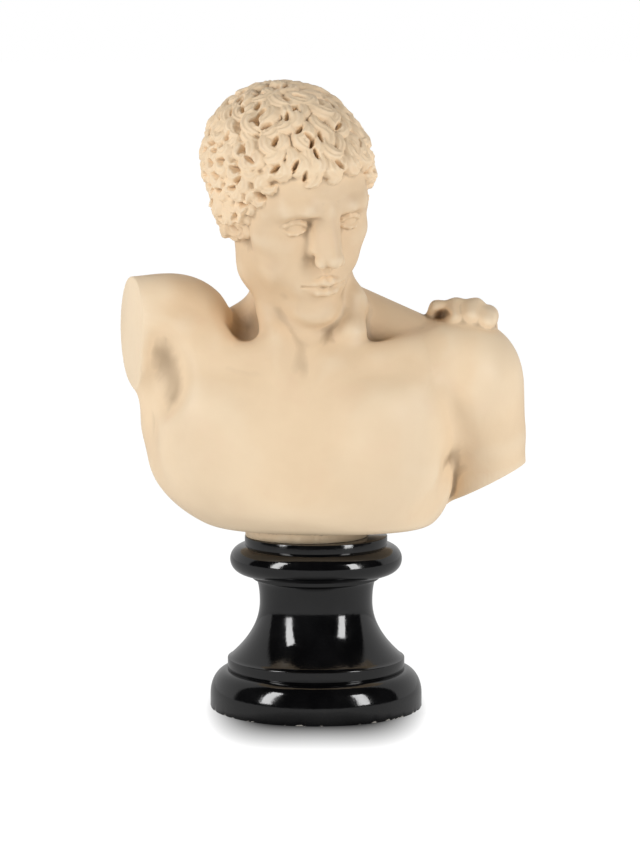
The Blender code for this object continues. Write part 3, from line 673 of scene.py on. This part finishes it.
def carveBust():
    figure = planned()
    bust = bpy.data.objects.new("marbleBust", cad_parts["bust"].data.copy())
    bpy.context.scene.collection.objects.link(bust)
    pickOnly(bust)
    bpy.ops.object.mode_set(mode="EDIT")
    bpy.ops.mesh.select_all(action="SELECT")
    bpy.ops.mesh.remove_doubles(threshold=0.00001)
    bpy.ops.object.mode_set(mode="OBJECT")
    for voxel, rounds in carving["skins"]:
        applied(bust, "REMESH", mode="VOXEL", voxel_size=voxel)
        keepLargestShell(bust)
        settle(bust, figure, rounds)
        stagePrint(f"bust carved at {voxel * 1000:.2f} mm, {len(bust.data.vertices)} points")
    refineHead(bust, figure)
    settle(bust, figure, carving["headRounds"])
    dressHair(bust, figure)
    stagePrint(f"hair cut, {len(bust.data.vertices)} points")
    bust.data.calc_loop_triangles()
    applied(bust, "DECIMATE", ratio=min(1, carving["triangles"] / len(bust.data.loop_triangles)))
    points = pointsOf(bust.data)
    points[:, 2] = np.maximum(points[:, 2], seat)       # the foot's flat underside
    setPoints(bust.data, points)
    markHollows(bust)
    markFaceShade(bust, figure)
    pickOnly(bust)
    bpy.ops.object.shade_smooth()
    stagePrint("bust finished")
    return bust


# How far each point lies below its smoothed neighbours, over a fine and a broad reach: the material paints
# shade into these hollows and pales the ridges as rubbed edges
hollows = {"fineRounds": 12, "fineDepth": 0.0009, "broadRounds": 120, "broadDepth": 0.0035}


def markHollows(obj):
    mesh = obj.data
    points, normals, ends = pointsOf(mesh), normalsOf(mesh), neighbours(mesh)
    for name in ("fine", "broad"):
        smooth = averaged(points, ends, hollows[name + "Rounds"])
        depth = ((smooth - points) * normals).sum(1) / hollows[name + "Depth"]
        values = averaged(np.clip(depth, -1, 1)[:, None], ends, 2)[:, 0]
        layer = mesh.attributes.new(name + "Hollow", "FLOAT", "POINT")
        layer.data.foreach_set("value", values.astype(np.float32))


# Where the face's painted shade ends and over how many head points it fades: hairline, throat, nape and
# sides
faceShadeReach = {"hairFade": 6, "throat": -30, "throatFade": 40, "nape": 16, "napeFade": 20,
          "sides": 62, "sidesFade": 25, "rounds": 6}


def markFaceShade(obj, figure):
    local = inHead(obj.data, figure)
    bare = np.clip(-hairArea(local) / faceShadeReach["hairFade"], 0, 1)
    upward = np.clip((local[:, 2] - faceShadeReach["throat"]) / faceShadeReach["throatFade"], 0, 1)
    forward = np.clip((faceShadeReach["nape"] - local[:, 1]) / faceShadeReach["napeFade"], 0, 1)
    beside = np.clip((faceShadeReach["sides"] - np.abs(local[:, 0])) / faceShadeReach["sidesFade"], 0, 1)
    shade = (bare * upward * forward * beside)[:, None]
    shade = averaged(shade, neighbours(obj.data), faceShadeReach["rounds"])[:, 0]
    layer = obj.data.attributes.new("faceShade", "FLOAT", "POINT")
    layer.data.foreach_set("value", shade.astype(np.float32))


plinthSize = {
    "segments": 320, "sweepSteps": 22,
    "baseRadius": 0.0915, "baseEdge": 0.0014, "baseStraight": 0.0120, "baseRound": 0.0215,
    "baseRows": (0.004, 0.008),     # rings up the straight side, for the chips
    "shoulder": 0.0765, "band": 0.0100, "bandEdge": 0.0007,
    "scotiaFoot": 0.0755, "sweep": 2.1, "waist": 0.0487, "scotiaLower": 0.0490, "scotiaUpper": 0.0200,
    "flare": 0.0040, "necking": 0.0550, "neckingHeight": 0.0045,
    "ring": 0.0742, "ringHeight": 0.0245, "disc": 0.0615, "discEdge": 0.0006,
    "quirk": 0.0004, "gap": 0.0003,     # the sharp steps between the mouldings
}


def arc(centre, radii, start, end, steps):
    angles = [math.radians(start + (end - start) * i / steps) for i in range(steps + 1)]
    return [(centre[0] + radii[0] * math.cos(a), centre[1] + radii[1] * math.sin(a)) for a in angles]


def plinthOutline(top):
    size = plinthSize
    base = size["baseStraight"] + size["baseRound"]
    band = base + size["band"]
    waist = band + size["scotiaLower"]
    necking = waist + size["scotiaUpper"]
    ring = necking + size["neckingHeight"]
    disc = ring + size["ringHeight"]
    edge, soft, rim = size["baseEdge"], size["bandEdge"], size["discEdge"]
    quirk, gap, steps = size["quirk"], size["gap"], size["sweepSteps"]
    sweep = [(size["waist"] + (size["scotiaFoot"] - size["waist"]) * (1 - i / steps) ** size["sweep"],
              band + size["scotiaLower"] * i / steps) for i in range(steps + 1)]
    return [
        *arc((size["baseRadius"] - edge, edge), (edge, edge), -90, 0, 5),
        *[(size["baseRadius"], row) for row in size["baseRows"]],
        *arc((size["shoulder"], size["baseStraight"]),
             (size["baseRadius"] - size["shoulder"], size["baseRound"]), 0, 88, 14),
        (size["shoulder"] - quirk / 2, base - quirk / 2),
        (size["shoulder"], base + quirk),
        *arc((size["shoulder"] - soft, band - soft), (soft, soft), 0, 90, 4),
        *sweep,
        *arc((size["waist"] + size["flare"], waist),
             (size["flare"], size["scotiaUpper"] - quirk), 180, 92, 10),
        (size["necking"] - 2 * quirk, necking - quirk),
        *arc((size["necking"] - quirk, necking + quirk), (quirk, quirk), -90, 0, 2),
        (size["necking"], ring - gap),
        *arc((size["disc"], (ring + disc) / 2),
             (size["ring"] - size["disc"], size["ringHeight"] / 2), -80, 80, 20),
        (size["disc"], disc + gap),
        *arc((size["disc"] - rim, top - rim), (rim, rim), 0, 90, 3),
    ]


def turnPlinth():
    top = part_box("plinth")[1].z
    outline = plinthOutline(top)
    radius, height = outline[0]
    bpy.ops.object.select_all(action="DESELECT")
    bpy.ops.mesh.primitive_circle_add(vertices=plinthSize["segments"], radius=radius, fill_type="NGON",
                                      location=(0, 0, height))
    plinth = bpy.context.active_object
    plinth.name = plinth.data.name = "lacquerPlinth"
    bpy.ops.object.transform_apply(location=True, rotation=True, scale=True)
    bpy.ops.object.mode_set(mode="EDIT")
    bpy.ops.mesh.select_all(action="SELECT")
    for wider, higher in outline[1:]:
        bpy.ops.mesh.extrude_region_move(TRANSFORM_OT_translate={"value": (0, 0, higher - height)})
        share = wider / radius
        bpy.ops.transform.resize(value=(share, share, 1), center_override=(0, 0, higher))
        radius, height = wider, higher
    bpy.ops.mesh.select_all(action="SELECT")
    bpy.ops.mesh.remove_doubles(threshold=0.00001)
    bpy.ops.mesh.normals_make_consistent(inside=False)
    bpy.ops.object.mode_set(mode="OBJECT")
    chipFootEdge(plinth)
    pickOnly(plinth)
    bpy.ops.object.shade_smooth_by_angle(angle=math.radians(50))
    stagePrint("plinth turned")
    return plinth


chips = {"count": 60, "seed": 5, "long": 0.0034, "tall": 0.0019, "deep": 0.0008, "smallest": 0.25,
         "upTo": 0.0060}            # height that they reach


def chipFootEdge(obj):
    mesh = obj.data
    points = pointsOf(mesh)
    chance = np.random.default_rng(chips["seed"])
    wear = np.zeros(len(points))
    around = np.arctan2(points[:, 1], points[:, 0])
    outside = np.hypot(points[:, 0], points[:, 1]) > plinthSize["baseRadius"] * 0.9
    low = outside & (points[:, 2] < chips["upTo"])
    for _ in range(chips["count"]):
        middle, size = chance.uniform(-math.pi, math.pi), chance.uniform(chips["smallest"], 1.0) ** 1.5
        off = (around - middle + math.pi) % (2 * math.pi) - math.pi
        along = off * plinthSize["baseRadius"] / (chips["long"] * size)
        up = points[:, 2] / (chips["tall"] * size)
        wear = np.maximum(wear, np.where(low, np.clip(1.3 - along ** 2 - up ** 2, 0, 1), 0))
    inwards = points * (-1, -1, 0)
    inwards /= np.linalg.norm(inwards, axis=1)[:, None] + 1e-9
    setPoints(mesh, points + inwards * (wear * chips["deep"])[:, None])
    layer = mesh.attributes.new("chipped", "FLOAT", "POINT")
    layer.data.foreach_set("value", wear.astype(np.float32))


def shaderOf(name):
    material = bpy.data.materials.new(name)
    material.use_nodes = True
    tree = material.node_tree
    return material, tree, tree.nodes["Principled BSDF"]


def addNode(tree, kind, **settings):
    node = tree.nodes.new(kind)
    for key, value in settings.items():
        if key in node.inputs:
            node.inputs[key].default_value = value
        else:
            setattr(node, key, value)
    return node


def noise(tree, scale, detail=3.0, rough=0.5):
    place = addNode(tree, "ShaderNodeTexCoord")
    texture = addNode(tree, "ShaderNodeTexNoise", Scale=scale, Detail=detail, Roughness=rough)
    tree.links.new(place.outputs["Object"], texture.inputs["Vector"])
    return texture.outputs["Fac"]


def attribute(tree, name):
    return addNode(tree, "ShaderNodeAttribute", attribute_name=name).outputs["Fac"]


def ranged(tree, value, low, high, newLow, newHigh):
    node = addNode(tree, "ShaderNodeMapRange")
    for key, number in (("From Min", low), ("From Max", high), ("To Min", newLow), ("To Max", newHigh)):
        node.inputs[key].default_value = number
    tree.links.new(value, node.inputs["Value"])
    return node.outputs["Result"]


def setOrLink(tree, socket, value):
    if isinstance(value, bpy.types.NodeSocket):
        tree.links.new(value, socket)
    else:
        socket.default_value = value


def mixed(tree, amount, first, second, way="MIX"):
    node = tree.nodes.new("ShaderNodeMix")
    node.data_type = "RGBA"
    node.blend_type = way
    for socket, value in ((node.inputs[0], amount), (node.inputs[6], first), (node.inputs[7], second)):
        setOrLink(tree, socket, value)
    return node.outputs[2]


def worked(tree, way, first, second=0):
    node = addNode(tree, "ShaderNodeMath", operation=way)
    for socket, value in zip(node.inputs, (first, second)):
        setOrLink(tree, socket, value)
    return node.outputs[0]


marble = {
    "light": (0.87, 0.675, 0.455, 1), "dark": (0.81, 0.615, 0.405, 1), "warm": (0.83, 0.60, 0.405, 1),
    # the dark brown is painted shade for the hollows, creases and drilled pits; the pale one is for rubbed
    # edges
    "paintedShade": (0.21, 0.13, 0.07, 1), "worn": (0.90, 0.77, 0.58, 1),
    "face": (0.88, 0.86, 0.84, 1),     # painted shade darkens the face and throat, which catch less light than the chest
    "cloudScale": 16, "blushScale": 41, "blush": 0.35, "fleckScale": 1500, "fleck": 0.12,
    # how strongly the painted shade darkens the broad and the fine hollows, and how far rubbed edges turn
    # paler
    "broadPaintedShade": 0.14, "finePaintedShade": 0.68, "edgeWear": 0.35,
    "roughness": 0.52, "smoothest": 0.07, "roughest": 0.09, "roughScale": 60, "shine": 0.38,
    "grain": 0.00012, "handWork": 0.0009,       # metres deep
    "grainScale": 1100, "handScale": 55,
}


def marbleMaterial():
    material, tree, shader = shaderOf("castMarble")
    links = tree.links
    cloudy = ranged(tree, noise(tree, marble["cloudScale"], 4), 0.35, 0.65, 0, 1)
    colour = mixed(tree, cloudy, marble["light"], marble["dark"])
    blush = ranged(tree, noise(tree, marble["blushScale"], 3), 0.55, 0.75, 0, marble["blush"])
    colour = mixed(tree, blush, colour, marble["warm"])
    fleck = ranged(tree, noise(tree, marble["fleckScale"], 2), 0.3, 0.7, 0, marble["fleck"])
    colour = mixed(tree, fleck, colour, marble["dark"])
    fine, broad, face = [attribute(tree, name) for name in ("fineHollow", "broadHollow", "faceShade")]
    # painted shade: the face and throat are multiplied darker by the faceShade mask
    colour = mixed(tree, face, colour, marble["face"], "MULTIPLY")
    # painted shade: the dark brown is laid into the broad and the fine hollows, where shade falls
    colour = mixed(tree, ranged(tree, broad, 0.35, 1, 0, marble["broadPaintedShade"]), colour, marble["paintedShade"])
    colour = mixed(tree, ranged(tree, fine, 0.22, 1, 0, marble["finePaintedShade"]), colour, marble["paintedShade"])
    colour = mixed(tree, ranged(tree, fine, -0.2, -0.9, 0, marble["edgeWear"]), colour, marble["worn"])
    links.new(colour, shader.inputs["Base Color"])
    rough = ranged(tree, noise(tree, marble["roughScale"], 4), 0.3, 0.7,
                   marble["roughness"] - marble["smoothest"], marble["roughness"] + marble["roughest"])
    links.new(rough, shader.inputs["Roughness"])
    shader.inputs["Specular IOR Level"].default_value = marble["shine"]
    grain = addNode(tree, "ShaderNodeBump", Strength=0.35, Distance=marble["grain"])
    links.new(noise(tree, marble["grainScale"], 5, 0.6), grain.inputs["Height"])
    handWork = addNode(tree, "ShaderNodeBump", Strength=0.5, Distance=marble["handWork"])
    links.new(noise(tree, marble["handScale"], 3), handWork.inputs["Height"])
    links.new(handWork.outputs["Normal"], grain.inputs["Normal"])
    links.new(grain.outputs["Normal"], shader.inputs["Normal"])
    return material


lacquer = {
    "black": (0.0016, 0.0016, 0.0019, 1), "soot": (0.0055, 0.0055, 0.0060, 1),
    "bare": (0.34, 0.32, 0.29, 1),      # the body that shows in a chip
    "roughness": 0.075, "smudge": 0.09, "shine": 0.68,
    "dustScale": 24, "smudgeScale": 90, "raggedScale": 900, "peelScale": 420, "peel": 0.0003,
}


def lacquerMaterial():
    material, tree, shader = shaderOf("blackLacquer")
    links = tree.links
    dusty = ranged(tree, noise(tree, lacquer["dustScale"], 5, 0.6), 0.45, 0.75, 0, 1)
    colour = mixed(tree, dusty, lacquer["black"], lacquer["soot"])
    ragged = worked(tree, "MULTIPLY", noise(tree, lacquer["raggedScale"], 3), 0.5)
    ragged = worked(tree, "ADD", ragged, attribute(tree, "chipped"))
    bare = ranged(tree, ragged, 0.75, 0.95, 0, 1)
    colour = mixed(tree, bare, colour, lacquer["bare"])
    links.new(colour, shader.inputs["Base Color"])
    smudged = ranged(tree, noise(tree, lacquer["smudgeScale"], 4, 0.6), 0.4, 0.75,
                     lacquer["roughness"], lacquer["roughness"] + lacquer["smudge"])
    links.new(smudged, shader.inputs["Roughness"])
    shader.inputs["Specular IOR Level"].default_value = lacquer["shine"]
    peel = addNode(tree, "ShaderNodeBump", Strength=0.12, Distance=lacquer["peel"])
    links.new(noise(tree, lacquer["peelScale"], 2), peel.inputs["Height"])
    links.new(peel.outputs["Normal"], shader.inputs["Normal"])
    return material


def dress(obj, material, node):
    obj.data.materials.clear()
    obj.data.materials.append(material)
    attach(obj, "root")
    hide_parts(node)


studio = {
    "cameraPlace": (0.0034, -3.0, 0.61), "cameraAim": (0.0034, 0.0, 0.2475), "lens": 150, "sensor": 36,
    "softboxes": ((-55, 1.55, 0.98), (52.5, 1.20, 0.74)),     # degrees, height, middle's height
    "softboxReach": 1.7, "softboxWide": 0.42, "softboxShine": 11.0, "softboxAim": (0, 0, 0.35),
    "behind": 0.56, "infront": 0.02, "edge": 0.17, "edgeSoft": 0.03,    # the room's light, back and front
    "overhead": 0.90, "overheadFrom": 0.25, "overheadTo": 0.60, "seen": 1.0,
    "floorSize": 60.0, "floorTone": (0.10, 0.10, 0.10, 1),
    "floorSeen": 1.0, "floorLight": 0.76, "floorMirrored": 0.40,    # white to the eye, dimmer to the pieces
    # a contact shadow painted into the floor's glow round the plinth's foot: its reach across and in depth,
    # and where it sets in and fades
    "shadeWide": 0.10, "shadeDeep": 0.20, "shadeFrom": 0.44, "shadeTo": 0.93,
}


def aimed(obj, place, target):
    obj.location = place
    obj.rotation_euler = (Vector(target) - Vector(place)).to_track_quat("-Z", "Y").to_euler()


def setCamera():
    data = bpy.data.cameras.new("camera")
    data.lens = studio["lens"]
    data.sensor_width = studio["sensor"]
    camera = bpy.data.objects.new("camera", data)
    bpy.context.scene.collection.objects.link(camera)
    aimed(camera, studio["cameraPlace"], studio["cameraAim"])
    bpy.context.scene.camera = camera


def setLights():
    for degrees, tall, middle in studio["softboxes"]:
        data = bpy.data.lights.new("softbox", "AREA")
        data.shape = "RECTANGLE"
        data.size, data.size_y = studio["softboxWide"], tall
        data.energy = studio["softboxShine"] * math.pi * studio["softboxWide"] * tall
        lamp = bpy.data.objects.new("softbox", data)
        bpy.context.scene.collection.objects.link(lamp)
        angle, reach = math.radians(degrees), studio["softboxReach"]
        aimed(lamp, (reach * math.sin(angle), -reach * math.cos(angle), middle), studio["softboxAim"])


def setWorld():
    world = bpy.data.worlds.new("studio")
    bpy.context.scene.world = world
    world.use_nodes = True
    tree = world.node_tree
    links = tree.links
    surround = tree.nodes["Background"]
    place = addNode(tree, "ShaderNodeTexCoord")
    split = addNode(tree, "ShaderNodeSeparateXYZ")
    links.new(place.outputs["Generated"], split.inputs[0])
    edge, soft = studio["edge"], studio["edgeSoft"]
    bright = ranged(tree, split.outputs["Y"], edge - soft, edge + soft, studio["infront"], studio["behind"])
    above = ranged(tree, split.outputs["Z"], studio["overheadFrom"], studio["overheadTo"],
                   1, studio["overhead"])
    links.new(worked(tree, "MULTIPLY", bright, above), surround.inputs["Strength"])
    surround.inputs["Color"].default_value = (1, 1, 1, 1)
    seen = addNode(tree, "ShaderNodeBackground", Color=(1, 1, 1, 1), Strength=studio["seen"])
    ray = addNode(tree, "ShaderNodeLightPath")
    blend = addNode(tree, "ShaderNodeMixShader")
    links.new(ray.outputs["Is Camera Ray"], blend.inputs[0])
    links.new(surround.outputs[0], blend.inputs[1])
    links.new(seen.outputs[0], blend.inputs[2])
    links.new(blend.outputs[0], tree.nodes["World Output"].inputs["Surface"])


def layFloor():
    bpy.ops.object.select_all(action="DESELECT")
    bpy.ops.mesh.primitive_plane_add(size=studio["floorSize"], location=(0, 0, 0))
    floor = bpy.context.active_object
    floor.name = "floor"
    material, tree, shader = shaderOf("paleFloor")
    shader.inputs["Base Color"].default_value = studio["floorTone"]
    shader.inputs["Roughness"].default_value = 0.9
    shader.inputs["Specular IOR Level"].default_value = 0.0
    shader.inputs["Emission Color"].default_value = (1, 1, 1, 1)
    place = addNode(tree, "ShaderNodeTexCoord")
    split = addNode(tree, "ShaderNodeSeparateXYZ")
    tree.links.new(place.outputs["Object"], split.inputs[0])
    # painted shadow: the floor's glow is dimmed round the plinth's foot, reaching further to the front and
    # back than to the sides
    across = worked(tree, "ABSOLUTE", worked(tree, "DIVIDE", split.outputs["X"], studio["shadeWide"]))
    deep = worked(tree, "ABSOLUTE", worked(tree, "DIVIDE", split.outputs["Y"], studio["shadeDeep"]))
    both = worked(tree, "ADD", worked(tree, "POWER", across, 4), worked(tree, "POWER", deep, 2))
    reach = worked(tree, "SQRT", both)
    seen = ranged(tree, reach, studio["shadeFrom"], studio["shadeTo"], 0, studio["floorSeen"])
    ray = addNode(tree, "ShaderNodeLightPath")
    camera, glossy = ray.outputs["Is Camera Ray"], ray.outputs["Is Glossy Ray"]
    eyed = worked(tree, "ADD", camera, worked(tree, "MULTIPLY", glossy, studio["floorMirrored"]))
    other = worked(tree, "SUBTRACT", 1, worked(tree, "ADD", camera, glossy))
    other = worked(tree, "MULTIPLY", other, studio["floorLight"])
    total = worked(tree, "ADD", worked(tree, "MULTIPLY", seen, eyed), other)
    tree.links.new(total, shader.inputs["Emission Strength"])
    floor.data.materials.append(material)


setCamera()
plinth = turnPlinth()
dress(plinth, lacquerMaterial(), "plinth")
bust = carveBust()
dress(bust, marbleMaterial(), "bust")
setLights()
setWorld()
layFloor()
bpy.context.scene.view_settings.view_transform = "Standard"
stagePrint("studio set")
